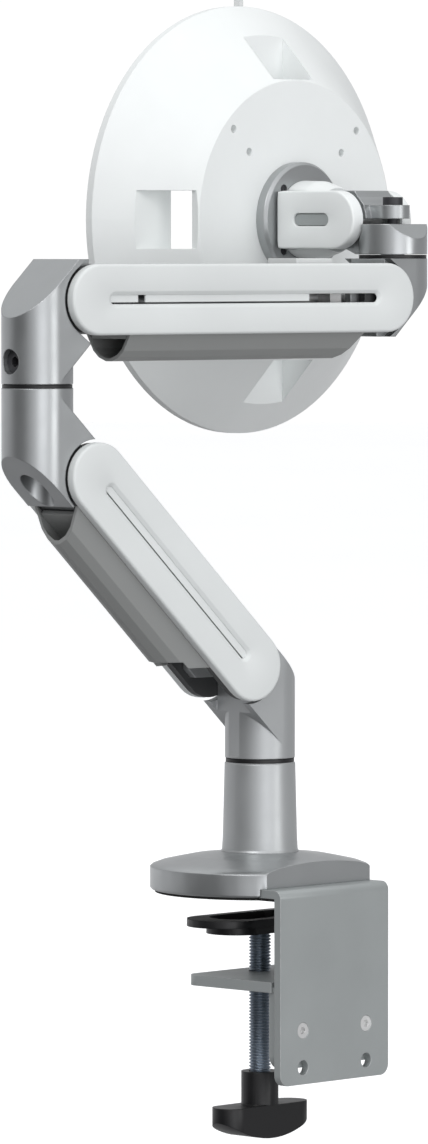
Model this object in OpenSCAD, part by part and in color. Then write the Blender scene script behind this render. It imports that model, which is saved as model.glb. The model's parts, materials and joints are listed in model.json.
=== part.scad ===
// Two-link gas-spring monitor arm on a C-shaped desk clamp, with a swivelling, tilting and
// turning head and a round dish that carries the screen. Millimetres, +Z up. The origin is
// on the axis of the post, in the face that rests on the desk top. The screen faces -Y, the
// clamp's upright plate is at +Y, and both links lie close to the X direction.

/* [Arms] */
// Distance between the two pivots of the lower arm
lower_len = 149.1; // [140:0.1:180]
// Distance between the two pivots of the upper arm
upper_len = 203.3; // [190:0.1:240]
// Angle of the lower arm above the horizontal
lift_angle = 44.1; // [40:0.1:45]
// Turn of both arms about the post, seen from above
arm_yaw = -6; // [-30:1:0]
// Radius of the rounded ends of the arm covers
cover_r = 18.8; // [18.4:0.1:19]
// Distance from the middle of an arm to the outer face of its cover
cover_y = 24; // [21:0.5:26]
// Wall thickness of the arm covers
cover_wall = 2; // [1.6:0.1:2.4]

/* [Knuckles] */
// Radius of the round body of each knuckle
knuckle_r = 19; // [18.6:0.1:19.4]
// Distance from a knuckle's swivel axis to its pivot
reach = 24; // [23.6:0.1:25]
// Height of the base knuckle's pivot above its ring
base_rise = 51.1; // [49:0.1:54]
// Depth of the lower elbow pivot below the elbow ring
elbow_drop = 47.4; // [46:0.1:50]
// Height of the upper elbow pivot above the elbow ring
elbow_rise = 44.3; // [43:0.1:47]
// Slope of the cut faces on the knuckles
cut_angle = 44; // [42:0.5:45]

/* [Post and base] */
// Radius of the base disc
base_r = 59.7; // [58:0.1:62]
// Height of the base disc's rim above the desk
rim_z = 13.8; // [12.6:0.1:14]
// Distance from the post to the flat side of the base disc
flat_y = 43.5; // [41:0.5:46]
// Height of the top of the post
post_z = 70.7; // [66:0.1:90]

/* [Clamp] */
// Width of the clamp bracket and its jaw
clamp_w = 85.6; // [80:0.2:88]
// Distance from the post axis to the outer face of the upright plate
plate_y = 55.4; // [54:0.1:60]
// Thickness of the bracket plate
plate_t = 4.5; // [4:0.1:4.8]
// Depth of the upright plate below the desk top
plate_drop = 99; // [97:1:120]
// Depth of the lower jaw's upper face below the desk top
jaw_z = 43.3; // [40:0.1:50]
// Depth of the pressure pad's upper face below the desk top, as drawn
pad_z = 12.9; // [10:0.1:16]
// Outside diameter of the clamp screw
screw_d = 12; // [11:0.5:12]

/* [Head] */
// Distance from the head's swivel axis to the tilt pivot
tilt_reach = 23.4; // [23:0.1:24]
// Radius of the rounded ends of the tilt covers
tilt_r = 16; // [15.6:0.1:16.4]
// Distance from the head's swivel axis to the dish's back face
dish_y = 73; // [72:0.5:80]
// Radius of the dish's flat middle
hub_r = 79; // [76:0.5:82]
// Radius of the dish's rim
rim_r = 119.5; // [115:0.5:125]
// Depth of the dish from its back face to the front edge of its rim
dish_depth = 47; // [45:0.5:50]
// Spacing of the outer square of screw holes
vesa_big = 100; // [100:1:100]
// Spacing of the inner square of screw holes
vesa_small = 75; // [75:1:75]

/* [Hidden] */
$fn = 72;

gap = 0.3;
fit = 0.06;
ring_t = 2;
slope = tan(cut_angle);
slab_y = 13.7;
pocket_y = 14;
recess_r = cover_r + 1.6;
frame_y = 14;
frame_t = 4.8;
tilt_plate_t = 2;
frame_r = 18.4;
web_t = 2.4;
web_inset = 24;
tube_r = 13;
pin_r = 4;
spindle_r = 6.5;
bore_r = 8.9;
seat_z = 18;
nut_r = 8.5;
nut_h = 8;
tray_t = 2.6;
tray_w = 14.6;
ridge_h = 21.4;
under_drop = 20.5;
lower_ribs = [[4, lower_len - 4]];
upper_ribs = [[56, upper_len - 32], [upper_len - 27, upper_len - 4]];

base_knuckle_z = post_z + ring_t + gap;
base_pivot = [reach, base_knuckle_z + base_rise];
elbow_pivot = base_pivot + lower_len * [cos(lift_angle), sin(lift_angle)];
elbow_x = elbow_pivot[0] + reach;
elbow_ring_z = elbow_pivot[1] + elbow_drop;
elbow_top_z = elbow_ring_z + ring_t + gap;
upper_z = elbow_top_z + elbow_rise;
head_pivot_x = elbow_pivot[0] - upper_len;
head_x = head_pivot_x - reach;
head_rise = ridge_h - 0.2;
head_ring_z = upper_z + head_rise;
tilt_z = head_ring_z + ring_t + gap;
tilt_pivot_z = tilt_z + 19;
plate_in = plate_y - plate_t;
flange_z = 1.5;
flange_top = flange_z + plate_t;
house_z = 21.9;

// ---------- shared shapes and frames ----------

// Prism across an arm: an outline in x and z, from y0 to y1
module across(y0, y1) {
    translate([0, y1, 0]) rotate([90, 0, 0]) linear_extrude(y1 - y0) children();
}

// Prism along x: an outline in y and z, from x0 to x1
module along(x0, x1) {
    translate([x0, 0, 0]) rotate([90, 0, 90]) linear_extrude(x1 - x0) children();
}

// Pin along y at the local origin
module cross_pin(r, y0, y1) {
    translate([0, y1, 0]) rotate([90, 0, 0]) cylinder(h = y1 - y0, r = r);
}

// Bar with round ends from the origin to x = len, as an outline
module bar_2d(len, r) {
    circle(r);
    translate([len, 0]) circle(r);
    translate([0, -r]) square([len, 2 * r]);
}

// The arms' plane, turned about the post
module yawed() {
    rotate([0, 0, arm_yaw]) children();
}

// Lower arm's frame: x runs from the base pivot to the elbow pivot
module at_lower_arm() {
    yawed() translate([base_pivot[0], 0, base_pivot[1]]) rotate([0, -lift_angle, 0]) children();
}

// Upper arm's frame: x runs from the head pivot to the elbow pivot
module at_upper_arm() {
    yawed() translate([head_pivot_x, 0, upper_z]) children();
}

// Foot of the head's swivel axis, turned back so that the screen faces -Y
module at_head() {
    rotate([0, 0, arm_yaw]) translate([head_x, 0, 0]) rotate([0, 0, -arm_yaw]) children();
}

// Tilt head's frame: z runs from the head's swivel axis towards the screen, y is up
module at_screen() {
    at_head() translate([0, 0, tilt_pivot_z]) rotate([90, 0, 0]) children();
}

// ---------- knuckles ----------

// Side outline of the slab between the swivel axis and the pivot at x = reach
function slab_outline(rise, over, ridge) =
    let (low0 = rise - under_drop - slope * reach,
         start = low0 < 0 ? [-low0 / slope, 0] : [0, low0],
         hit = sqrt(knuckle_r * knuckle_r - pow(under_drop * cos(cut_angle), 2)),
         a0 = cut_angle - 90 + atan2(hit, under_drop * cos(cut_angle)),
         a1 = ridge ? 90 : 90 + cut_angle,
         foot = over * cos(cut_angle))
    concat([[0, max(0, low0)], start],
        [for (i = [0 : 24]) let (a = a0 + (a1 - a0) * i / 24)
            [reach + knuckle_r * cos(a), rise + knuckle_r * sin(a)]],
        ridge ? [[reach, rise + ridge_h], [reach - (over - ridge_h) / slope, rise + ridge_h]]
              : [[reach - foot * sin(cut_angle), rise + foot * cos(cut_angle)]],
        [[0, rise + over - slope * reach]]);

// Upright knuckle on a ring face at z = 0, with its pivot at x = reach. over is the height of
// the sloping top face above the pivot; a0 and a1 are the arm's limits above the horizontal.
module knuckle(rise, over, ridge, a0, a1) {
    top = rise + over - slope * reach;
    difference() {
        union() {
            intersection() {
                cylinder(h = rise + 40, r = knuckle_r);
                across(-knuckle_r, knuckle_r)
                    polygon([[-knuckle_r, 0], [knuckle_r, 0], [knuckle_r, rise - under_drop],
                        [reach - 6, rise], [0, top], [-knuckle_r, top - slope * knuckle_r]]);
            }
            across(-knuckle_r, knuckle_r) polygon(slab_outline(rise, over, ridge));
        }
        for (side = [0, 1]) mirror([0, side, 0]) translate([reach, slab_y, rise]) {
            rotate([-90, 0, 0]) cylinder(h = 9, r = recess_r);
            for (a = [a0, a1]) rotate([0, -a, 0]) translate([0, 0, -recess_r])
                cube([50, 9, 2 * recess_r]);
        }
        translate([knuckle_r - 0.5, -9, rise - 50]) cube([45, 18, 65]);
        translate([knuckle_r - 0.5, -pocket_y, rise - 50]) cube([45, 2 * pocket_y, 43]);
        translate([reach, 0, rise]) cross_pin(pin_r + fit, -30, 30);
    }
}

// Bore and nut seat for a spindle that comes up through the ring face
module swivel_bore(depth) {
    translate([0, 0, -1]) cylinder(h = seat_z + 2, r = spindle_r + fit);
    translate([0, 0, seat_z]) cylinder(h = depth - seat_z, r = bore_r);
}

// Hexagon nut round a spindle, standing on z = 0
module hex_nut() {
    difference() {
        cylinder(h = nut_h, r = nut_r, $fn = 6);
        translate([0, 0, -1]) cylinder(h = nut_h + 2, r = spindle_r);
    }
}

// Swivel ring on z = 0
module swivel_ring() {
    difference() {
        cylinder(h = ring_t, r = knuckle_r - 0.4);
        translate([0, 0, -1]) cylinder(h = ring_t + 2, r = spindle_r + 0.5);
    }
}

// Spindle with a bevelled tip: below is its length under z = 0, above its length over it
module spindle(below, above) {
    translate([0, 0, -below]) cylinder(h = below + above - 1, r = spindle_r);
    translate([0, 0, above - 1]) cylinder(h = 1, r1 = spindle_r, r2 = spindle_r - 1);
}

// ---------- arms ----------

// Two side plates, each with a long window beside the gas spring
module arm_frame(len) {
    for (side = [0, 1]) mirror([0, side, 0]) difference() {
        across(frame_y, frame_y + frame_t) bar_2d(len, frame_r);
        translate([22, 0, 0]) across(frame_y - 1, frame_y + frame_t + 1) bar_2d(len - 44, 9);
        for (x = [0, len]) translate([x, 0, 0]) cross_pin(pin_r, frame_y - 1, frame_y + frame_t + 1);
    }
}

// Sheet that closes the top of an arm between its plates, with two cross bars underneath
module arm_web(len) {
    translate([web_inset, -frame_y, frame_r - web_t]) cube([len - 2 * web_inset, 2 * frame_y, web_t]);
    for (x = [web_inset + 4, len - web_inset - 7])
        translate([x, -frame_y, -frame_r]) cube([3, 2 * frame_y, 4]);
}

// Hollow cover on the +y side with a stepped slot along its middle. Ribs behind the slot close
// it over each [from, to] span, apart from a narrow gap along its lower edge.
module arm_cover(len, ribs) {
    y0 = frame_y + frame_t;
    rib_y = cover_y - cover_wall;
    difference() {
        across(y0, cover_y) bar_2d(len, cover_r);
        across(y0 - 1, rib_y) bar_2d(len, cover_r - cover_wall);
        translate([10, 0, 0]) across(cover_y - 1, cover_y + 1) bar_2d(len - 20, 4);
        translate([10, 0, 0]) across(y0, cover_y) bar_2d(len - 20, 2.4);
    }
    for (x = [0, len]) translate([x, 0, 0]) cross_pin(5, y0, rib_y);
    for (rib = ribs) translate([rib[0], rib_y - 1.2, -1.5]) cube([rib[1] - rib[0], 1.2, 6]);
}

// Two pivot pins of an arm
module arm_pins(len) {
    for (x = [0, len]) translate([x, 0, 0]) cross_pin(pin_r, -frame_y - frame_t, frame_y + frame_t);
}

// Cylinder of the gas spring with its end fitting, lying in the frame from x0 to x1
module gas_tube(x0, x1) {
    difference() {
        translate([x0, 0, 0]) rotate([0, 90, 0]) cylinder(h = x1 - x0, r = tube_r);
        translate([x0 - 1, 0, 0]) rotate([0, 90, 0]) cylinder(h = 15, r = 4);
    }
    translate([x1, 0, 0]) rotate([0, 90, 0]) cylinder(h = 11, r = 5);
}

// Rod of the gas spring with its anchor block between the frame's plates
module gas_rod(x0, x1) {
    translate([x0, 0, 0]) rotate([0, 90, 0]) cylinder(h = x1 - x0, r = 4);
    difference() {
        translate([x0 - 6, -frame_y, -8]) cube([8, 2 * frame_y, 16]);
        translate([x0, 0, 0]) rotate([0, 90, 0]) cylinder(h = 3, r = 4);
    }
}

// Plate that closes the top of the cable channel, from x0 to x1
module tray(x0, x1) {
    translate([x0, -tray_w, -frame_r - tray_t]) cube([x1 - x0, 2 * tray_w, tray_t]);
}

// Half of the cable channel on the +y side, as a section through y and z
module shell_2d() {
    difference() {
        polygon([[0, -frame_r], [18.5, -frame_r], [12.5, -27.5], [8, -31], [2, -33], [0, -33]]);
        polygon([[-1, -frame_r + 1], [16.3, -frame_r + 1], [16.3, -frame_r], [11.4, -26.2], [7.4, -29.4],
            [1.8, -31.4], [-1, -31.4]]);
    }
}

// Half channel along an arm. Its ends slope from start[0] and end[0] at the top to start[1] and
// end[1] at the bottom, and a lug on its outer edge reaches a further length past the start.
module half_shell(start, end, lug) {
    intersection() {
        along(start[0] - lug - 1, end[0] + 1) shell_2d();
        union() {
            across(-1, 20) polygon([[start[0], -frame_r], [end[0], -frame_r], [end[1], -33], [start[1], -33]]);
            across(13, 20) polygon([[start[0] - lug, -frame_r], [start[0] + 20, -frame_r],
                [start[1] + 20, -33], [start[1] - lug, -33]]);
        }
    }
}

// ---------- clamp and base ----------

module desk_pad() {
    color("dimgray") linear_extrude(flange_z) {
        intersection() {
            circle(base_r - 2.7);
            translate([-base_r, -base_r]) square([2 * base_r, base_r + flat_y - 1]);
        }
        translate([-clamp_w / 2 + 0.8, 0]) square([clamp_w - 1.6, plate_in - 0.6]);
    }
}

module base_housing() {
    dome = [[0, flange_z], [base_r - 1, flange_z], [base_r, flange_z + 1], [base_r, rim_z],
        [base_r - 1.3, rim_z + 1.1], [54, 16.5], [46, 18.2], [38, 19.8], [32, 20.3], [21.6, house_z],
        [0, house_z]];
    color("silver") difference() {
        rotate_extrude() polygon(dome);
        translate([-70, flat_y, 0]) cube([140, 40, 40]);
        translate([-clamp_w / 2 - 0.4, -24.3, 0]) cube([clamp_w + 0.8, 100, flange_top]);
        for (x = [-30, 30], y = [-14, 30]) translate([x, y, 0]) cylinder(h = 15, r = 2.6);
        translate([0, 0, -1]) cylinder(h = 40, r = 5.1);
    }
}

module clamp_bracket() {
    color("silver") difference() {
        union() {
            translate([-clamp_w / 2, -24, flange_z]) cube([clamp_w, plate_in + 24, plate_t]);
            translate([-clamp_w / 2, plate_in, flange_top - plate_t]) rotate([0, 90, 0]) intersection() {
                cylinder(h = clamp_w, r = plate_t);
                translate([-plate_t, 0, 0]) cube([plate_t, plate_t, clamp_w]);
            }
            across(plate_in, plate_y) {
                translate([-clamp_w / 2, -plate_drop + 6]) square([clamp_w, plate_drop - 6 + flange_z]);
                translate([-clamp_w / 2 + 6, -plate_drop]) square([clamp_w - 12, 7]);
                for (x = [-clamp_w / 2 + 6, clamp_w / 2 - 6]) translate([x, -plate_drop + 6]) circle(6);
            }
        }
        for (x = [-30, 30], y = [-14, 30]) translate([x, y, 0]) {
            cylinder(h = 9, r = 2.6);
            translate([0, 0, flange_z - 0.01]) cylinder(h = 2.6, r1 = 5, r2 = 2.6);
        }
        cylinder(h = 9, r = 5.1);
        translate([0, 0, flange_z - 0.01]) cylinder(h = 4, r1 = 9, r2 = 5.1);
        for (x = [-25, 25]) {
            translate([x, 0, -70]) cross_pin(4.3, plate_in - 1, plate_y + 1);
            translate([x, 0, -90]) cross_pin(4, plate_in - 1, plate_y + 1);
        }
    }
}

module lower_jaw() {
    low = -90.5;
    half = 41;
    color("silver") difference() {
        union() {
            translate([0, 0, -jaw_z - 5.7]) linear_extrude(5.7) {
                translate([-clamp_w / 2, -7.4]) square([clamp_w, plate_in - 2.4 + 7.4]);
                translate([-clamp_w / 2 + 8, -15.4]) square([clamp_w - 16, 9]);
                for (x = [-clamp_w / 2 + 8, clamp_w / 2 - 8]) translate([x, -7.4]) circle(8);
            }
            across(plate_in - 5.5, plate_in) {
                translate([-half, low + 8]) square([2 * half, -jaw_z - 3 - low - 8]);
                translate([-half + 8, low]) square([2 * half - 16, 9]);
                for (x = [-half + 8, half - 8]) translate([x, low + 8]) circle(8);
            }
        }
        translate([0, 0, -60]) cylinder(h = 30, r = screw_d / 2 + fit);
        for (x = [-25, 25]) translate([x, 0, -70]) cross_pin(3.05, plate_in - 9, plate_in + 1);
    }
}

module jaw_screws() {
    color("gainsboro") for (x = [-25, 25]) translate([x, 0, -70]) {
        difference() {
            cross_pin(4.25, plate_in, plate_y - 0.2);
            translate([0, plate_y - 2.2, 0]) rotate([-90, 0, 0]) cylinder(h = 3, r = 2, $fn = 6);
        }
        cross_pin(3, plate_in - 8, plate_in);
    }
}

module flange_screws() {
    color("dimgray") for (x = [-30, 30], y = [-14, 30]) translate([x, y, flange_z]) {
        difference() {
            union() {
                cylinder(h = 2.2, r1 = 4.6, r2 = 2.5);
                cylinder(h = 12, r = 2.5);
            }
            translate([0, 0, -1]) cylinder(h = 2.4, r = 1.5, $fn = 6);
        }
    }
}

module post() {
    color("silver") difference() {
        rotate_extrude() polygon([[0, house_z], [21.2, house_z], [20.6, house_z + 1.5], [knuckle_r + 1.2, 30],
            [knuckle_r + 0.2, post_z - 0.8], [knuckle_r - 0.6, post_z], [0, post_z]]);
        translate([0, 0, 45]) cylinder(h = 40, r = spindle_r);
        translate([0, 0, 20]) cylinder(h = 24, r = 5.1);
    }
}

module post_bolt() {
    color("dimgray") difference() {
        union() {
            translate([0, 0, flange_z]) cylinder(h = 3.4, r1 = 8.6, r2 = 5);
            translate([0, 0, flange_z]) cylinder(h = 40, r = 5);
        }
        translate([0, 0, flange_z - 1]) cylinder(h = 4, r = 3.2, $fn = 6);
    }
}

module base_spindle() {
    color("silver") translate([0, 0, base_knuckle_z]) spindle(base_knuckle_z - 45, seat_z + 12);
}

module base_ring() {
    color("black") translate([0, 0, post_z]) swivel_ring();
}

module base_nut() {
    color("silver") translate([0, 0, base_knuckle_z + seat_z + gap]) hex_nut();
}

module pressure_pad() {
    floor_z = -pad_z - 6.6;
    color("black") difference() {
        union() {
            translate([-27, 0, -pad_z - 4.1]) linear_extrude(4.1) bar_2d(54, 21);
            translate([-19, 0, floor_z - 2]) linear_extrude(6) bar_2d(38, 16);
        }
        translate([-19, 0, floor_z]) linear_extrude(9) bar_2d(38, 14.5);
        translate([0, 0, floor_z - 3]) cylinder(h = 6, r = 4.08);
    }
}

module clamp_screw() {
    shoulder = -pad_z - 8.9;
    color("slategray") {
        translate([0, 0, -110]) cylinder(h = shoulder + 109, r = screw_d / 2);
        translate([0, 0, shoulder - 1]) cylinder(h = 1, r1 = screw_d / 2, r2 = screw_d / 2 - 1);
        translate([0, 0, shoulder]) cylinder(h = 2.6, r = 4);
    }
}

module screw_rivet() {
    color("silver") translate([0, 0, -pad_z - 6.3]) {
        cylinder(h = 1.2, r = 5);
        translate([0, 0, 1.2]) cylinder(h = 1.4, r1 = 5, r2 = 3);
    }
}

module clamp_knob() {
    hub_top = -98;
    bar_top = -116;
    color("black") difference() {
        union() {
            translate([0, 0, bar_top]) cylinder(h = hub_top - bar_top, r = 10.15);
            intersection() {
                translate([-23, 0, bar_top - 18]) linear_extrude(18) bar_2d(46, 10);
                translate([0, 0, bar_top - 18 + 59.5]) cross_pin(59.5, -11, 11);
            }
        }
        translate([0, 0, -110]) cylinder(h = 20, r = screw_d / 2);
    }
}

// ---------- base knuckle and lower arm ----------

module base_knuckle() {
    color("gainsboro") yawed() translate([0, 0, base_knuckle_z]) difference() {
        knuckle(base_rise, 28.1, true, lift_angle, lift_angle);
        swivel_bore(90);
    }
}

module lower_frame() {
    color("silver") at_lower_arm() arm_frame(lower_len);
}

module lower_web() {
    color("dimgray") at_lower_arm() arm_web(lower_len);
}

module lower_cover_rear() {
    color("white") at_lower_arm() arm_cover(lower_len, lower_ribs);
}

module lower_cover_front() {
    color("white") at_lower_arm() mirror([0, 1, 0]) arm_cover(lower_len, lower_ribs);
}

module lower_pins() {
    color("silver") at_lower_arm() arm_pins(lower_len);
}

module lower_gas_tube() {
    color("silver") at_lower_arm() gas_tube(46, lower_len - 31);
}

module lower_gas_rod() {
    color("gainsboro") at_lower_arm() gas_rod(32, 58);
}

module lower_tray() {
    color("gray") at_lower_arm() tray(26, lower_len - 6.5);
}

module lower_channel_rear() {
    color("gray") at_lower_arm() half_shell([24.3, 38.4], [lower_len - 2, lower_len - 17], 4.9);
}

module lower_channel_front() {
    color("gray") at_lower_arm() mirror([0, 1, 0]) half_shell([24.3, 38.4], [lower_len - 2, lower_len - 17], 4.9);
}

// ---------- elbow ----------

module elbow_lower_knuckle() {
    color("gainsboro") yawed() translate([elbow_x, 0, elbow_ring_z]) rotate([0, 180, 0]) difference() {
        knuckle(elbow_drop, 30, false, lift_angle, lift_angle);
        swivel_bore(90);
    }
}

module elbow_ring() {
    color("black") yawed() translate([elbow_x, 0, elbow_ring_z]) swivel_ring();
}

module elbow_upper_knuckle() {
    color("gainsboro") yawed() translate([elbow_x, 0, elbow_top_z]) mirror([1, 0, 0]) difference() {
        knuckle(elbow_rise, 32.1, true, 36, -36);
        translate([0, 0, -1]) cylinder(h = 17, r = spindle_r);
        translate([0, 0, 11.8]) rotate([0, -90, 0]) cylinder(h = 30, r = 6.7);
    }
}

module elbow_spindle() {
    color("silver") yawed() translate([elbow_x, 0, elbow_ring_z]) mirror([0, 0, 1])
        spindle(ring_t + gap + 5, seat_z + 12);
}

module elbow_nut() {
    color("gainsboro") yawed() translate([elbow_x, 0, elbow_ring_z - seat_z - gap]) mirror([0, 0, 1]) hex_nut();
}

module elbow_brake_screw() {
    color("dimgray") yawed() translate([elbow_x + 7, 0, elbow_top_z + 11.8]) rotate([0, 90, 0]) difference() {
        cylinder(h = 8, r = 6.6);
        translate([0, 0, 3]) cylinder(h = 6, r = 3, $fn = 6);
    }
}

// ---------- upper arm ----------

module upper_frame() {
    color("silver") at_upper_arm() arm_frame(upper_len);
}

module upper_web() {
    color("dimgray") at_upper_arm() arm_web(upper_len);
}

module upper_cover_rear() {
    color("white") at_upper_arm() arm_cover(upper_len, upper_ribs);
}

module upper_cover_front() {
    color("white") at_upper_arm() mirror([0, 1, 0]) arm_cover(upper_len, upper_ribs);
}

module upper_pins() {
    color("silver") at_upper_arm() arm_pins(upper_len);
}

module upper_gas_tube() {
    color("silver") at_upper_arm() gas_tube(62, upper_len - 31);
}

module upper_gas_rod() {
    color("gainsboro") at_upper_arm() gas_rod(32, 74);
}

module upper_tray() {
    color("gray") at_upper_arm() tray(14, upper_len - 25);
}

module upper_channel_rear() {
    color("gray") at_upper_arm() half_shell([12.5, 22], [upper_len - 24.6, upper_len - 24.6], 0);
}

module upper_channel_front() {
    color("gray") at_upper_arm() mirror([0, 1, 0]) half_shell([12.5, 22], [upper_len - 24.6, upper_len - 24.6], 0);
}

module upper_cap() {
    color("white") at_upper_arm() translate([30.5, -12, frame_r]) cube([26, 24, 3]);
}

// ---------- head ----------

module head_knuckle() {
    color("gainsboro") yawed() translate([head_x, 0, head_ring_z]) rotate([180, 0, 0]) difference() {
        knuckle(head_rise, 30.3, true, 36, -36);
        swivel_bore(90);
    }
}

module head_ring() {
    color("black") at_head() translate([0, 0, head_ring_z]) swivel_ring();
}

module tilt_knuckle() {
    pivot = 19;
    slit = 16.6;
    color("gainsboro") at_head() translate([0, 0, tilt_z]) difference() {
        union() {
            intersection() {
                cylinder(h = slit, r = knuckle_r);
                along(-20, 20) polygon([[-20, 0], [knuckle_r, 0], [knuckle_r, 8.6], [11, slit], [-20, slit]]);
            }
            translate([0, -tilt_reach, pivot]) rotate([0, 90, 0])
                cylinder(h = 2 * slab_y, r = tilt_r, center = true);
            along(-slab_y, slab_y) {
                polygon([[0, 0], [-15, 0], [-tilt_reach - 11.3, pivot - 11.3], [-tilt_reach, slit], [0, slit]]);
                polygon([[-9, slit], [-tilt_reach, slit], [-tilt_reach, 35], [-16, 35], [-13, 31], [-9, 27]]);
            }
            translate([0, 0, slit]) cylinder(h = 10.4, r = 9.3);
            translate([-9.3, -12, slit]) cube([18.6, 12, 10.4]);
        }
        for (side = [0, 1]) mirror([side, 0, 0]) translate([slab_y, -tilt_reach, pivot])
            rotate([0, 90, 0]) cylinder(h = 9, r = tilt_r + 1);
        translate([-20, -tilt_reach, slit]) cube([40, 60, 3]);
        translate([0, -tilt_reach, pivot]) rotate([0, 90, 0]) cylinder(h = 60, r = pin_r + fit, center = true);
        translate([0, 0, -1]) cylinder(h = 9, r = spindle_r);
        translate([0, 0, 9]) cylinder(h = 30, r = 3.1);
    }
}

module head_spindle() {
    color("silver") at_head() translate([0, 0, head_ring_z]) mirror([0, 0, 1])
        spindle(ring_t + gap + 7, seat_z + 11);
}

module head_nut() {
    color("gainsboro") at_head() translate([0, 0, head_ring_z - seat_z - gap]) mirror([0, 0, 1]) hex_nut();
}

module tilt_screw() {
    color("dimgray") at_head() translate([0, 0, tilt_z]) difference() {
        union() {
            translate([0, 0, 9.5]) cylinder(h = 20, r = 3);
            translate([0, 0, 27]) cylinder(h = 4.4, r = 5.5);
        }
        translate([0, 0, 29]) cylinder(h = 4, r = 2.6, $fn = 6);
    }
}

// Side plates of the tilt head; each carries an inset that fills the slot of its cover
module tilt_frame() {
    inset = cover_y - 1.2 - frame_y - tilt_plate_t;
    color("silver") at_screen() for (side = [0, 1]) mirror([side, 0, 0]) {
        translate([frame_y + tilt_plate_t, -3.2, 30]) cube([inset, 6.4, 19]);
        for (z = [30, 49]) translate([frame_y + tilt_plate_t, 0, z]) rotate([0, 90, 0]) cylinder(h = inset, r = 3.2);
        difference() {
            translate([frame_y, 0, 0]) rotate([0, 90, 0]) linear_extrude(tilt_plate_t) {
                translate([-tilt_reach, 0]) circle(tilt_r - 2.6);
                translate([-64, -tilt_r + 2.6]) square([64 - tilt_reach, 2 * tilt_r - 5.2]);
            }
            translate([0, 0, tilt_reach]) rotate([0, 90, 0]) cylinder(h = 30, r = pin_r);
        }
    }
}

// Hollow cover on the +x side of the tilt head
module tilt_cover() {
    x0 = frame_y + tilt_plate_t;
    difference() {
        translate([x0, 0, 0]) rotate([0, 90, 0]) linear_extrude(cover_y - x0) {
            translate([-tilt_reach, 0]) circle(tilt_r);
            translate([-65, -tilt_r]) square([65 - tilt_reach, 2 * tilt_r]);
        }
        translate([x0 - 1, 0, 0]) rotate([0, 90, 0]) linear_extrude(cover_y - x0 + 1 - cover_wall) {
            translate([-tilt_reach, 0]) circle(tilt_r - 2);
            translate([-63, -tilt_r + 2]) square([63 - tilt_reach, 2 * tilt_r - 4]);
        }
        translate([x0, -3.5, 30]) cube([20, 7, 19]);
        for (z = [30, 49]) translate([x0, 0, z]) rotate([0, 90, 0]) cylinder(h = 20, r = 3.5);
    }
}

module tilt_cover_right() {
    color("white") at_screen() tilt_cover();
}

module tilt_cover_left() {
    color("white") at_screen() mirror([1, 0, 0]) tilt_cover();
}

module tilt_pin() {
    color("silver") at_screen() translate([-frame_y - tilt_plate_t, 0, tilt_reach]) rotate([0, 90, 0])
        cylinder(h = 2 * (frame_y + tilt_plate_t), r = pin_r);
}

module turn_hub() {
    color("white") at_screen() intersection() {
        difference() {
            rotate_extrude() polygon([[0, 41], [17.6, 41], [19, 44], [21.4, 52], [21.8, 65.7], [0, 65.7]]);
            translate([0, 0, 45]) cylinder(h = 30, r = 8 + fit);
        }
        translate([-frame_y, -30, 30]) cube([2 * frame_y, 60, 40]);
    }
}

module round_plate() {
    color("silver") at_screen() difference() {
        union() {
            translate([0, 0, 66]) cylinder(h = 1.6, r1 = 30.4, r2 = 32);
            translate([0, 0, 67.6]) cylinder(h = dish_y - 67.6, r = 32);
            translate([0, 0, 47]) cylinder(h = 20, r = 8);
        }
        for (a = [45 : 90 : 315]) rotate(a) translate([24, 0, 60]) cylinder(h = 20, r = 2.6);
    }
}

module plate_screws() {
    color("dimgray") at_screen() for (a = [45 : 90 : 315]) rotate(a) translate([24, 0, 0]) difference() {
        union() {
            translate([0, 0, 67]) cylinder(h = 10, r = 2.5);
            translate([0, 0, dish_y + 2.4]) cylinder(h = 2.4, r1 = 2.5, r2 = 4.6);
        }
        translate([0, 0, dish_y + 3.4]) cylinder(h = 3, r = 1.6, $fn = 6);
    }
}

// Four boxes round the dish between radii r0 and r1, w wide, from z0 to z1 off its back face
module notches(r0, r1, w, z0, z1) {
    for (a = [0 : 90 : 270]) rotate(a) translate([r0, -w / 2, dish_y + z0]) cube([r1 - r0, w, z1 - z0]);
}

// Bowl with a flat middle and four pockets in its slope. Each pocket has a floor and side walls
// and is open towards the inside of the bowl.
module dish() {
    lip = dish_depth - 5.5;
    notch_w = 32;
    notch_floor = 25;
    notch_r = hub_r + 26.5;
    outside = [[0, 0], [hub_r - 1.5, 0], [hub_r, 1.2], [rim_r, lip], [rim_r, dish_depth - 1],
        [rim_r - 1, dish_depth]];
    color("white") at_screen() difference() {
        union() {
            translate([0, 0, dish_y]) rotate_extrude() polygon(concat(outside,
                [[rim_r - 3.6, dish_depth], [rim_r - 4, lip + 1], [hub_r - 2, 5], [0, 5]]));
            intersection() {
                translate([0, 0, dish_y]) rotate_extrude() polygon(concat(outside, [[0, dish_depth]]));
                notches(hub_r - 5, notch_r + 3, notch_w + 5, 0.5, notch_floor + 3);
            }
        }
        notches(hub_r - 1, notch_r, notch_w, -1, notch_floor);
        notches(hub_r - 6, hub_r, notch_w, 5, notch_floor);
        for (d = [vesa_big, vesa_small], x = [-0.5, 0.5], y = [-0.5, 0.5])
            translate([d * x, d * y, dish_y - 1]) cylinder(h = 8, r = 2.2);
        for (a = [45 : 90 : 315]) rotate(a) translate([24, 0, dish_y - 1]) {
            cylinder(h = 8, r = 2.6);
            translate([0, 0, 3.3]) cylinder(h = 3, r1 = 2.7, r2 = 5.7);
        }
    }
}

module rim_tab() {
    color("lightgray") at_screen() translate([-1.5, rim_r, dish_y + dish_depth - 5.4]) cube([3, 4.4, 4.4]);
}

// ---------- what is drawn ----------

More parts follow.
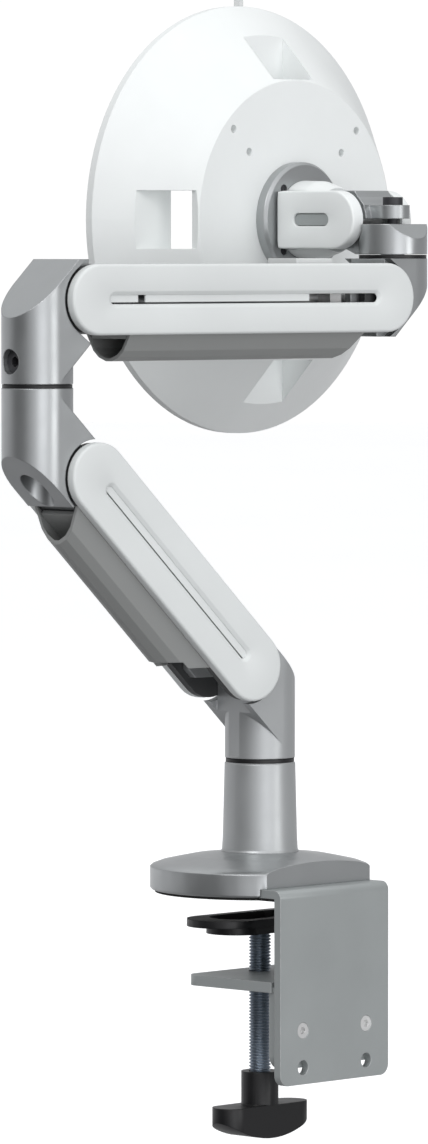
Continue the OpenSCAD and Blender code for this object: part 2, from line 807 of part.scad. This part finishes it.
desk_pad();
base_housing();
clamp_bracket();
lower_jaw();
jaw_screws();
flange_screws();
post();
post_bolt();
base_spindle();
base_ring();
base_nut();
pressure_pad();
clamp_screw();
screw_rivet();
clamp_knob();
base_knuckle();
lower_frame();
lower_web();
lower_cover_rear();
lower_cover_front();
lower_pins();
lower_gas_tube();
lower_gas_rod();
lower_tray();
lower_channel_rear();
lower_channel_front();
elbow_lower_knuckle();
elbow_ring();
elbow_upper_knuckle();
elbow_spindle();
elbow_nut();
elbow_brake_screw();
upper_frame();
upper_web();
upper_cover_rear();
upper_cover_front();
upper_pins();
upper_gas_tube();
upper_gas_rod();
upper_tray();
upper_channel_rear();
upper_channel_front();
upper_cap();
head_knuckle();
head_ring();
tilt_knuckle();
head_spindle();
head_nut();
tilt_screw();
tilt_frame();
tilt_cover_right();
tilt_cover_left();
tilt_pin();
turn_hub();
round_plate();
plate_screws();
dish();
rim_tab();
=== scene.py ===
"""Desk-clamp monitor arm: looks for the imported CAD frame. All sizes are in metres.

The CAD nodes keep their shapes and get procedural materials; some also get small rounded edges.
The slotted covers and the clamp screw are built here in mesh code, in the place of their nodes.
"""
import json
import math

import bmesh
import bpy
from mathutils import Matrix, Vector


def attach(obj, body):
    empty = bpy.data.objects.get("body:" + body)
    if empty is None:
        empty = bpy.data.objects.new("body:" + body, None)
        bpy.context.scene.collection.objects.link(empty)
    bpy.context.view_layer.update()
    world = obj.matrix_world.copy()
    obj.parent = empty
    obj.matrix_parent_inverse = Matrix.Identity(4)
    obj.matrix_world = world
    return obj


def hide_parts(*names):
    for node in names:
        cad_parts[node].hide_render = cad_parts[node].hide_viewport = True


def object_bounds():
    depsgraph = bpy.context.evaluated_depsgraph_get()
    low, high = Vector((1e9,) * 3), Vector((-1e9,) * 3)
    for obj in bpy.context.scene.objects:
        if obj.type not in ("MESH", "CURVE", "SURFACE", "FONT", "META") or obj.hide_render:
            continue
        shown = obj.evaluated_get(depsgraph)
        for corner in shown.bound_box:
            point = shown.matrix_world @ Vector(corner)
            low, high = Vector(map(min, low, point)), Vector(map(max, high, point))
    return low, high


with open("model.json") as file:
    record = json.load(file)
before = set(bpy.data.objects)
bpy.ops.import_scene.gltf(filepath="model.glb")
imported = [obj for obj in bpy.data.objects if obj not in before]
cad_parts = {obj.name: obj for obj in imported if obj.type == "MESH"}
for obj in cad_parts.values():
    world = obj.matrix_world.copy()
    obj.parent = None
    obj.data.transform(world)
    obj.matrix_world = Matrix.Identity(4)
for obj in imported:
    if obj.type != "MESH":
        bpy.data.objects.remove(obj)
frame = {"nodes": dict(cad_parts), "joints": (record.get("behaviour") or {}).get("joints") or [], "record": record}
CAD_LOW, CAD_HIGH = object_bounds()
NODES = frame["nodes"]
JOINTS = {joint["name"]: joint for joint in frame["joints"]}
MM = 0.001
scene = bpy.context.scene


# ---------- camera ----------

CAMERA_PLACE = (2.8393, 2.6738, 0.356)
CAMERA_SIDE = Vector((0.7236, 0.6902, 0))   # level direction from the object to the camera
CAMERA_PITCH = math.radians(2.68)           # how far it looks down
LENS_MM, SENSOR_MM = 226.6, 36
CLIP_NEAR, CLIP_FAR = 0.1, 20


def add_camera():
    """The photograph's viewpoint: far away, nearly level, through a long lens."""
    data = bpy.data.cameras.new("camera")
    data.lens = LENS_MM
    data.sensor_width = SENSOR_MM
    data.clip_start, data.clip_end = CLIP_NEAR, CLIP_FAR
    level = -CAMERA_SIDE.normalized() * math.cos(CAMERA_PITCH)
    aim = Vector((level.x, level.y, -math.sin(CAMERA_PITCH)))
    cam = bpy.data.objects.new("camera", data)
    cam.location = CAMERA_PLACE
    cam.rotation_euler = aim.to_track_quat("-Z", "Y").to_euler()
    scene.collection.objects.link(cam)
    scene.camera = cam


add_camera()
scene.view_settings.view_transform = "Standard"
scene.view_settings.look = "None"


# ---------- materials ----------

class Shader:
    """A principled material with helpers for adding procedural detail."""

    def __init__(self, name):
        self.mat = bpy.data.materials.new(name)
        self.mat.use_nodes = True
        self.tree = self.mat.node_tree
        self.bsdf = self.tree.nodes["Principled BSDF"]
        self.coords = self.add("ShaderNodeTexCoord").outputs["Object"]
        self.normal = None

    def add(self, kind, **inputs):
        node = self.tree.nodes.new(kind)
        for key, value in inputs.items():
            node.inputs[key.replace("_", " ")].default_value = value
        return node

    def link(self, a, b):
        self.tree.links.new(a, b)

    def scaled(self, scale):
        """Object coordinates stretched by a vector."""
        node = self.add("ShaderNodeMapping", Scale=scale)
        self.link(self.coords, node.inputs["Vector"])
        return node.outputs["Vector"]

    def noise(self, scale, detail=4, rough=0.55, stretch=(1, 1, 1)):
        """Noise with about scale features in a metre."""
        node = self.add("ShaderNodeTexNoise", Scale=scale, Detail=detail, Roughness=rough)
        self.link(self.scaled(stretch), node.inputs["Vector"])
        return node.outputs["Fac"]

    def spread(self, value, low, high, start=0.3, stop=0.7):
        """Maps a value from start..stop to low..high."""
        node = self.add("ShaderNodeMapRange",
                        From_Min=start, From_Max=stop, To_Min=low, To_Max=high)
        self.link(value, node.inputs["Value"])
        return node.outputs["Result"]

    def colour(self, value, dark, light, start=0.3, stop=0.7):
        """Maps a value from start..stop to a colour from dark to light."""
        node = self.add("ShaderNodeValToRGB")
        points = node.color_ramp.elements
        for point, position, rgb in zip(points, (start, stop), (dark, light)):
            point.position = position
            point.color = (*rgb, 1)
        self.link(value, node.inputs["Fac"])
        return node.outputs["Color"]

    def mix(self, fac, colour, rgb):
        """A colour blended by fac towards one fixed rgb."""
        node = self.add("ShaderNodeMix")
        node.data_type = "RGBA"
        self.link(fac, node.inputs["Factor"])
        self.link(colour, node.inputs["A"])
        node.inputs["B"].default_value = (*rgb, 1)
        return node.outputs["Result"]

    def bump(self, height, distance, strength=1.0):
        """Adds a bump on top of the normal so far."""
        node = self.add("ShaderNodeBump", Strength=strength, Distance=distance)
        self.link(height, node.inputs["Height"])
        if self.normal is not None:
            self.link(self.normal, node.inputs["Normal"])
        self.normal = node.outputs["Normal"]

    def rounded_normal(self, radius, samples):
        """The normal as it would be with edges rounded to a radius."""
        node = self.add("ShaderNodeBevel", Radius=radius)
        node.samples = samples
        return node.outputs["Normal"]

    def round_edges(self, radius):
        self.normal = self.rounded_normal(radius, 6)

    def edges(self, radius=0.0007):
        """1 along sharp edges, where the rounded normal leaves the true one, broken by noise."""
        dot = self.add("ShaderNodeVectorMath")
        dot.operation = "DOT_PRODUCT"
        self.link(self.rounded_normal(radius, 4), dot.inputs[0])
        self.link(self.add("ShaderNodeNewGeometry").outputs["Normal"], dot.inputs[1])
        worn = self.spread(dot.outputs["Value"], 0.8, 0, 0.86, 0.985)
        times = self.add("ShaderNodeMath")
        times.operation = "MULTIPLY"
        self.link(worn, times.inputs[0])
        self.link(self.spread(self.noise(300, 3), 0.15, 1, 0.42, 0.6), times.inputs[1])
        return times.outputs[0]

    def done(self, colour, rough, **sockets):
        """Links the finished colour, roughness and normal; sockets are fixed numbers."""
        self.link(colour, self.bsdf.inputs["Base Color"])
        self.link(rough, self.bsdf.inputs["Roughness"])
        if self.normal is not None:
            self.link(self.normal, self.bsdf.inputs["Normal"])
        for key, value in sockets.items():
            self.bsdf.inputs[key.replace("_", " ")].default_value = value
        return self.mat


def shade(rgb, factor):
    return tuple(min(1, c * factor) for c in rgb)


def plastic(name, rgb, rough, grain, **sockets):
    """Moulded plastic: fine spark-eroded grain, slow colour drift, slightly polished patches."""
    s = Shader(name)
    s.round_edges(0.0006)
    s.bump(s.noise(2600, 3, 0.6), grain)
    s.bump(s.noise(60, 2), 0.00006, 0.5)
    tone = s.colour(s.noise(14, 5), shade(rgb, 0.965), shade(rgb, 1.02))
    specks = s.spread(s.noise(5200, 1), 0, 0.05, 0.55, 0.75)
    tone = s.mix(specks, tone, shade(rgb, 0.8))
    return s.done(tone, s.spread(s.noise(35, 4), rough - 0.05, rough + 0.06), **sockets)


def paint(name, rgb, rough, metal, flake, edge, wear):
    """Powder coat or silver paint on metal: orange peel, flake sparkle and worn edges.

    flake is the height of the orange peel, edge the edges' radius, and wear their colour.
    rough stays above 0.32, because a metal that varies below 0.28 renders with specks.
    """
    s = Shader(name)
    s.round_edges(edge)
    s.bump(s.noise(900, 2, 0.5), flake)
    s.bump(s.noise(3600, 1), flake * 0.5)
    tone = s.colour(s.noise(20, 5), shade(rgb, 0.96), shade(rgb, 1.03))
    sparkle = s.spread(s.noise(5200, 1), 0, 0.05, 0.52, 0.7)
    tone = s.mix(sparkle, tone, shade(rgb, 1.25))
    tone = s.mix(s.edges(), tone, wear)
    return s.done(tone, s.spread(s.noise(45, 4), rough - 0.04, rough + 0.06), Metallic=metal)


def steel(name, rgb, stretch, metal=1.0):
    """Plated steel with fine drawn or turned lines and faint staining."""
    rough = 0.36
    s = Shader(name)
    s.round_edges(0.0004)
    lines = s.noise(700, 3, 0.6, stretch)
    s.bump(lines, 0.00002)
    tone = s.colour(s.noise(60, 5), shade(rgb, 0.85), shade(rgb, 1.1))
    tone = s.mix(s.spread(lines, 0, 0.25, 0.45, 0.7), tone, shade(rgb, 0.75))
    return s.done(tone, s.spread(s.noise(80, 5), rough - 0.06, rough + 0.1), Metallic=metal)


def rubber(name, rgb):
    """Matt foam rubber with an open-pored skin."""
    s = Shader(name)
    s.round_edges(0.0003)
    pores = s.add("ShaderNodeTexVoronoi", Scale=900.0)
    s.link(s.scaled((1, 1, 1)), pores.inputs["Vector"])
    s.bump(s.spread(pores.outputs["Distance"], 0, 1, 0.1, 0.5), 0.00008)
    tone = s.colour(s.noise(120, 5), shade(rgb, 0.7), shade(rgb, 1.6))
    return s.done(tone, s.spread(s.noise(90, 3), 0.82, 0.95))


TURNED = (1, 1, 6)        # lines round a vertical axis
DRAWN = (0.05, 1, 1)      # lines along x
MATERIALS = {
    "white_plastic": plastic("white_plastic", (0.82, 0.845, 0.84), rough=0.42, grain=0.000012),
    # painted shade: a darker copy of white_plastic for the link covers, with the shade that falls on them painted
    # into their colour
    "shaded_white_plastic": plastic("shaded_white_plastic", (0.7, 0.725, 0.72), rough=0.42, grain=0.000012),
    "silver_cast": paint("silver_cast", (0.42, 0.435, 0.44), rough=0.33, metal=0.85,
                         flake=0.000002, edge=0.0008, wear=(0.52, 0.53, 0.53)),
    "silver_base": paint("silver_base", (0.45, 0.465, 0.47), rough=0.4, metal=0.62,
                         flake=0.000002, edge=0.0008, wear=(0.55, 0.56, 0.56)),
    "grey_paint": paint("grey_paint", (0.39, 0.415, 0.415), rough=0.46, metal=0.5,
                        flake=0.000008, edge=0.0006, wear=(0.55, 0.55, 0.55)),
    "dark_paint": paint("dark_paint", (0.055, 0.057, 0.058), rough=0.5, metal=0.2,
                        flake=0.00001, edge=0.0005, wear=(0.25, 0.25, 0.25)),
    "spring_tube": steel("spring_tube", (0.66, 0.68, 0.69), DRAWN),
    "bright_steel": steel("bright_steel", (0.76, 0.765, 0.76), TURNED, metal=0.5),
    "zinc_steel": steel("zinc_steel", (0.36, 0.41, 0.47), TURNED),
    "dark_steel": paint("dark_steel", (0.05, 0.05, 0.055), rough=0.45, metal=0.5,
                        flake=0.00001, edge=0.0003, wear=(0.2, 0.2, 0.2)),
    "black_plastic": plastic("black_plastic", (0.004, 0.004, 0.005), rough=0.42, grain=0.00001),
    "black_rubber": rubber("black_rubber", (0.013, 0.013, 0.013)),
    "grey_plastic": plastic("grey_plastic", (0.30, 0.308, 0.303), rough=0.5, grain=0.000014),
    "clear_plastic": plastic("clear_plastic", (0.72, 0.74, 0.74), rough=0.35, grain=0.00001,
                             Alpha=0.6),
}


def dress(obj, material):
    obj.data.materials.clear()
    obj.data.materials.append(MATERIALS[material])


for part in frame["record"]["subparts"]:
    dress(NODES[part["node"]], part["material_slot"])
for node in ("post", "base_knuckle"):
    dress(NODES[node], "silver_base")


# ---------- rounded edges on CAD nodes ----------

EDGE_RADII_MM = {"clamp_bracket": 0.6, "lower_jaw": 0.6, "clamp_knob": 1.2, "pressure_pad": 0.6,
                 "base_housing": 0.5, "turn_hub": 0.4, "upper_cap": 0.5}
SHARP = math.radians(32)


def round_node(node, radius):
    """Real small radii on a CAD node's sharp edges."""
    weld = NODES[node].modifiers.new("weld", "WELD")
    weld.merge_threshold = 0.01 * MM
    bevel = NODES[node].modifiers.new("bevel", "BEVEL")
    bevel.width = radius
    bevel.segments = 3
    bevel.limit_method = "ANGLE"
    bevel.angle_limit = SHARP
    bevel.harden_normals = True


for node, radius_mm in EDGE_RADII_MM.items():
    round_node(node, radius_mm * MM)


# ---------- shapes ----------

def solid(name, verts, faces, body, slot, node, look):
    """A smooth closed mesh that rides on a body and stands for a CAD node.

    slot, the record's slot for its finish, is not used; look is the material that it shows.
    """
    mesh = bpy.data.meshes.new(name)
    mesh.from_pydata(verts, [], faces)
    bm = bmesh.new()
    bm.from_mesh(mesh)
    bmesh.ops.remove_doubles(bm, verts=bm.verts, dist=0.001 * MM)
    bmesh.ops.recalc_face_normals(bm, faces=bm.faces)
    bm.to_mesh(mesh)
    bm.free()
    obj = bpy.data.objects.new(name, mesh)
    scene.collection.objects.link(obj)
    mesh.shade_smooth()
    with bpy.context.temp_override(object=obj, active_object=obj, selected_objects=[obj],
                                   selected_editable_objects=[obj]):
        bpy.ops.object.shade_smooth_by_angle(angle=math.radians(30))
    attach(obj, body)
    dress(obj, look)
    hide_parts(node)


def loft(rings):
    """Vertices and faces of a closed tube through equal rings, the last joined to the first."""
    n, count = len(rings[0]), len(rings)
    verts = [p for ring in rings for p in ring]
    faces = []
    for i in range(count):
        j = (i + 1) % count
        for k in range(n):
            m = (k + 1) % n
            faces.append((i * n + k, i * n + m, j * n + m, j * n + k))
    return verts, faces


def box_between(low, high):
    """Vertices and faces of a box between two corners."""
    verts = [(x, y, z) for x in (low[0], high[0]) for y in (low[1], high[1])
             for z in (low[2], high[2])]
    faces = [(0, 1, 3, 2), (4, 6, 7, 5), (0, 4, 5, 1), (2, 3, 7, 6), (0, 2, 6, 4), (1, 5, 7, 3)]
    return verts, faces


def stadium(x0, x1, r, y, steps=20):
    """Loop round a bar with round ends, in the local x-z plane at height y."""
    right = [(x1 + r * math.cos(a), y, r * math.sin(a))
             for a in (math.pi * (i / steps - 0.5) for i in range(steps + 1))]
    left = [(x0 + r * math.cos(a), y, r * math.sin(a))
            for a in (math.pi * (i / steps + 0.5) for i in range(steps + 1))]
    return right + left


def fillet(r, y, size, steps=5):
    """Profile points (radius, y) that round the corner at radius r and height y."""
    angles = [math.pi / 2 * i / steps for i in range(steps + 1)]
    return [(r - size + size * math.cos(a), y - size + size * math.sin(a)) for a in angles]


# ---------- covers of the links ----------

COVER_TOP = 24 * MM       # outer face of every cover, from the middle plane of its link
COVER_WALL = 2 * MM
COVER_INSIDE = COVER_TOP - COVER_WALL
LINK_R = 18.8 * MM
LINK_RIM = 18.8 * MM      # where the rim of a link's cover ends, beside the knuckle
LINK_FILLET = 1.6 * MM
SLOT_INSET = 10 * MM      # from a pivot to the centre of the slot's round end
SLOT_LIPS = ((4.5 * MM, COVER_TOP), (4.2 * MM, COVER_TOP - 0.1 * MM),
             (3.9 * MM, COVER_TOP - 0.35 * MM), (2.5 * MM, COVER_TOP - 1.5 * MM),
             (2.4 * MM, COVER_INSIDE))
RIB_THICK, RIB_LOW, RIB_HIGH = 1.2 * MM, -1.5 * MM, 4.5 * MM


def link_frame(start_joint, end_joint):
    """A link's matrix and length: x runs between its joints, and y is the first one's axis."""
    start, end = (Vector(JOINTS[name]["pos_m"]) for name in (start_joint, end_joint))
    x, y = (end - start).normalized(), Vector(JOINTS[start_joint]["axis"]).normalized()
    turn = Matrix((x, y, x.cross(y))).transposed().to_4x4()
    return Matrix.Translation(start) @ turn, (end - start).length


def link_cover(node, place, length, side, body, ribs):
    """Moulded cover: filleted rim, a long slot with lips that slope inwards, ribs behind it."""
    rings = [stadium(0, length, LINK_R, LINK_RIM)]
    rings += [stadium(0, length, r, y) for r, y in fillet(LINK_R, COVER_TOP, LINK_FILLET)]
    rings += [stadium(SLOT_INSET, length - SLOT_INSET, r, y) for r, y in SLOT_LIPS]
    rings += [stadium(0, length, LINK_R - COVER_WALL, y) for y in (COVER_INSIDE, LINK_RIM)]
    verts, faces = loft(rings)
    for start, stop in ribs:
        more, quads = box_between((start, COVER_INSIDE - RIB_THICK, RIB_LOW),
                                  (stop, COVER_INSIDE, RIB_HIGH))
        faces += [tuple(i + len(verts) for i in quad) for quad in quads]
        verts += more
    verts = [tuple(place @ Vector((x, side * y, z))) for x, y, z in verts]
    # the link covers show the darker copy of the white plastic, which is painted shade
    solid(node + "_moulded", verts, faces, body, "white_plastic", node, "shaded_white_plastic")


place, length = link_frame("lower_arm_lift", "elbow_level")
spans = [(4 * MM, length - 4 * MM)]
link_cover("lower_cover_rear", place, length, 1, "lower_arm", spans)
link_cover("lower_cover_front", place, length, -1, "lower_arm", spans)

place, length = link_frame("head_level", "upper_arm_lift")
spans = [(56 * MM, length - 32 * MM), (length - 27 * MM, length - 4 * MM)]
link_cover("upper_cover_rear", place, length, 1, "upper_arm", spans)
link_cover("upper_cover_front", place, length, -1, "upper_arm", spans)


# ---------- covers of the tilt head ----------

TILT_R = 16 * MM
TILT_RIM = 16 * MM              # where the cover's rim ends, on its side plate
TILT_FILLET = 1.2 * MM
TILT_REACH = 23.4 * MM          # from the tilt axis to the dish's own axis
TILT_MIDDLE = 49 * MM           # where the round half of the outline meets the square one
TILT_SLOT = (30 * MM, 49 * MM)
TILT_LIPS = ((4.1 * MM, COVER_TOP), (3.8 * MM, COVER_TOP - 0.1 * MM),
             (3.5 * MM, COVER_TOP - 0.5 * MM), (3.5 * MM, COVER_INSIDE))


def squared(dx, dz, corner):
    """A point of the round end moved out to a square end with rounded corners."""
    stretch = TILT_R / max(abs(dx), abs(dz), 1e-9)
    dx, dz = dx * stretch, dz * stretch
    over_x, over_z = (max(abs(d) - (TILT_R - corner), 0) for d in (dx, dz))
    over = math.hypot(over_x, over_z)
    if over > corner:
        dx -= math.copysign(over_x * (1 - corner / over), dx)
        dz -= math.copysign(over_z * (1 - corner / over), dz)
    return dx, dz


def tilt_outline(shrink, y, corner):
    """Outline of a tilt cover at height y: one end round, the other square."""
    keep = (TILT_R - shrink) / TILT_R
    ring = []
    for x, _, z in stadium(TILT_REACH, TILT_MIDDLE, TILT_R, y):
        if x > TILT_MIDDLE:
            dx, dz = squared(x - TILT_MIDDLE, z, corner)
            ring.append((TILT_MIDDLE + dx * keep, y, dz * keep))
        else:
            ring.append((TILT_REACH + (x - TILT_REACH) * keep, y, z * keep))
    return ring


def tilt_cover(node, side):
    """Cover on a side plate of the tilt head, with a stadium slot."""
    pivot = Vector(JOINTS["head_tilt"]["pos_m"])
    swivel = pivot + Vector((0, TILT_REACH, 0))
    rings = [tilt_outline(0, TILT_RIM, 1 * MM)]
    rings += [tilt_outline(TILT_R - r, y, 1.6 * MM)
              for r, y in fillet(TILT_R, COVER_TOP, TILT_FILLET)]
    rings += [stadium(*TILT_SLOT, r, y) for r, y in TILT_LIPS]
    rings += [tilt_outline(COVER_WALL, y, 0.6 * MM) for y in (COVER_INSIDE, TILT_RIM)]
    rings = [[tuple(swivel + Vector((side * y, -x, z))) for x, y, z in ring] for ring in rings]
    solid(node + "_moulded", *loft(rings), "tilt_head", "white_plastic", node, "white_plastic")


tilt_cover("tilt_cover_right", 1)
tilt_cover("tilt_cover_left", -1)


# ---------- clamp screw ----------

SCREW_END, SHOULDER = -110 * MM, -21.8 * MM
SCREW_R, PITCH, THREAD_DEPTH = 6 * MM, 1.75 * MM, 0.95 * MM
NECK_R, NECK = 4 * MM, 2.6 * MM
SCREW_STEPS = 48                # points round the screw
RINGS_A_TURN = 8
FADE_RINGS = 6                  # rings over which the thread runs out at each end


def thread_radius(i, k, z, count):
    """Radius at point k of ring i: a trapezoid crest that winds round once a pitch."""
    phase = ((z - SCREW_END) / PITCH - k / SCREW_STEPS) % 1.0
    crest = min(1.0, max(0.0, 1.3 - 3.2 * abs(phase - 0.5)))
    fade = min(1.0, (count - i) / FADE_RINGS, i / FADE_RINGS)
    return SCREW_R - THREAD_DEPTH + THREAD_DEPTH * crest * fade


def threaded_screw():
    """The clamp screw: a metric thread up to the shoulder, then a plain neck."""
    count = int((SHOULDER - SCREW_END) / PITCH * RINGS_A_TURN)
    rings = []
    for i in range(count + 1):
        z = SCREW_END + (SHOULDER - SCREW_END) * i / count
        rings.append([(thread_radius(i, k, z, count), z) for k in range(SCREW_STEPS)])
    rings += [[(NECK_R, z)] * SCREW_STEPS for z in (SHOULDER, SHOULDER + NECK)]
    verts = []
    for ring in rings:
        for k, (r, z) in enumerate(ring):
            a = 2 * math.pi * k / SCREW_STEPS
            verts.append((r * math.cos(a), r * math.sin(a), z))
    faces = []
    for i in range(len(rings) - 1):
        low, high = i * SCREW_STEPS, (i + 1) * SCREW_STEPS
        for k in range(SCREW_STEPS):
            m = (k + 1) % SCREW_STEPS
            faces.append((low + k, low + m, high + m, high + k))
    faces.append(tuple(reversed(range(SCREW_STEPS))))
    faces.append(tuple(range(len(verts) - SCREW_STEPS, len(verts))))
    solid("clamp_screw_threaded", verts, faces, "clamp_screw_set", "zinc_steel", "clamp_screw",
          "zinc_steel")


threaded_screw()


# ---------- lights, background and floor ----------

# Brightness round the horizon: 0 and 1 are the camera's side, 0.25 its right, 0.5 the background
HORIZON = ((0.0, 1.1), (0.03, 2.3), (0.08, 2.3), (0.12, 0.8), (0.2, 0.45), (0.32, 0.5),
           (0.42, 0.6), (0.47, 0.95), (0.53, 0.95), (0.6, 0.9), (0.72, 0.7), (0.8, 0.16),
           (0.89, 0.16), (0.95, 0.7), (1.0, 1.1))
# Brightness by height: 0 is straight down, 0.5 level and 1 straight up
SKY = ((0.0, 0.22), (0.3, 0.6), (0.46, 1.0), (0.51, 1.0), (0.57, 0.55), (0.7, 0.6), (1.0, 1.0))
CEILING = (1.1, 1.11, 1.12, 1)
CEILING_SPAN = (0.75, 0.95)       # heights over which the ceiling takes over
BACKDROP = (1.03, 1.03, 1.03, 1)
BACKDROP_SPAN = (0.985, 0.9955)   # cosines from the view's direction, over which it fades in
BEHIND = Vector((-0.7236, -0.6902, -0.05))


def studio_world():
    """A photo studio as bands of the horizon: white behind the object, dark flags beside it,
    strip lights further round, a grey room behind the camera and a pale ceiling."""
    world = bpy.data.worlds.new("studio")
    scene.world = world
    world.use_nodes = True
    tree = world.node_tree
    coords = tree.nodes.new("ShaderNodeTexCoord").outputs["Generated"]

    def dot(axis):
        node = tree.nodes.new("ShaderNodeVectorMath")
        node.operation = "DOT_PRODUCT"
        node.inputs[1].default_value = axis
        tree.links.new(coords, node.inputs[0])
        return node.outputs["Value"]

    def feed(socket, value):
        if isinstance(value, (int, float, tuple)):
            socket.default_value = value
        else:
            tree.links.new(value, socket)

    def math_node(operation, a, b):
        node = tree.nodes.new("ShaderNodeMath")
        node.operation = operation
        feed(node.inputs[0], a)
        feed(node.inputs[1], b)
        return node.outputs[0]

    def ramp(value, stops):
        node = tree.nodes.new("ShaderNodeValToRGB")
        points = node.color_ramp.elements
        while len(points) < len(stops):
            points.new(0.5)
        for point, (position, level) in zip(points, stops):
            point.position = position
            point.color = (level, level, level * 1.01, 1)
        tree.links.new(value, node.inputs["Fac"])
        return node.outputs["Color"]

    def share(value, span):
        node = tree.nodes.new("ShaderNodeMapRange")
        node.inputs["From Min"].default_value, node.inputs["From Max"].default_value = span
        tree.links.new(value, node.inputs["Value"])
        return node.outputs["Result"]

    def mixed(kind, fac, a, b):
        node = tree.nodes.new("ShaderNodeMix")
        node.data_type = "RGBA"
        node.blend_type = kind
        for socket, value in (("Factor", fac), ("A", a), ("B", b)):
            feed(node.inputs[socket], value)
        return node.outputs["Result"]

    ahead = BEHIND.normalized()
    side = Vector((-ahead.y, ahead.x, 0)).normalized()
    turn = math_node("ARCTAN2", dot(side), dot(ahead))
    turn = math_node("ADD", math_node("DIVIDE", turn, 2 * math.pi), 0.5)
    height = math_node("ADD", math_node("MULTIPLY", dot((0, 0, 1)), 0.5), 0.5)
    room = mixed("MULTIPLY", 1.0, ramp(turn, HORIZON), ramp(height, SKY))
    room = mixed("MIX", share(height, CEILING_SPAN), room, CEILING)
    room = mixed("MIX", share(dot(ahead), BACKDROP_SPAN), room, BACKDROP)
    tree.links.new(room, tree.nodes["Background"].inputs["Color"])


MIDDLE = Vector((0, 0, 0.2))


def area_light(name, place, size, watts, glossy=True):
    """A soft box aimed at the middle of the object; glossy is whether it shows in reflections."""
    data = bpy.data.lights.new(name, "AREA")
    data.shape = "RECTANGLE"
    data.size, data.size_y = size
    data.energy = watts
    lamp = bpy.data.objects.new(name, data)
    lamp.location = place
    lamp.rotation_euler = (MIDDLE - Vector(place)).to_track_quat("-Z", "Y").to_euler()
    lamp.visible_glossy = glossy
    scene.collection.objects.link(lamp)


FLOOR_DROP = 30 * MM      # under the object's lowest point, which leaves room for the screw
FLOOR_REACH = 15
FLOOR_GLOW = 0.3


def pale_floor():
    """A pale floor that only the camera sees, so it lights nothing from below."""
    s = Shader("floor")
    tone = s.colour(s.noise(2), (0.84, 0.845, 0.85), (0.86, 0.865, 0.87))
    mat = s.done(tone, s.spread(s.noise(5), 0.7, 0.8),
                 Emission_Color=(1, 1, 1, 1), Emission_Strength=FLOOR_GLOW)
    height = CAD_LOW[2] - FLOOR_DROP
    corners = [(x * FLOOR_REACH, y * FLOOR_REACH, height)
               for x, y in ((-1, -1), (1, -1), (1, 1), (-1, 1))]
    mesh = bpy.data.meshes.new("floor")
    mesh.from_pydata(corners, [], [(0, 1, 2, 3)])
    mesh.materials.append(mat)
    floor = bpy.data.objects.new("floor", mesh)
    floor.visible_diffuse = floor.visible_glossy = False
    floor.visible_transmission = floor.visible_shadow = False
    scene.collection.objects.link(floor)


studio_world()
area_light("key", (2.6, 0.9, 2.4), (1.6, 1.6), 36)
area_light("side", (-0.6, 3.2, 0.6), (1.0, 2.6), 22)
area_light("fill", (-1.2, -3.0, 1.5), (2.0, 2.0), 22, glossy=False)
pale_floor()
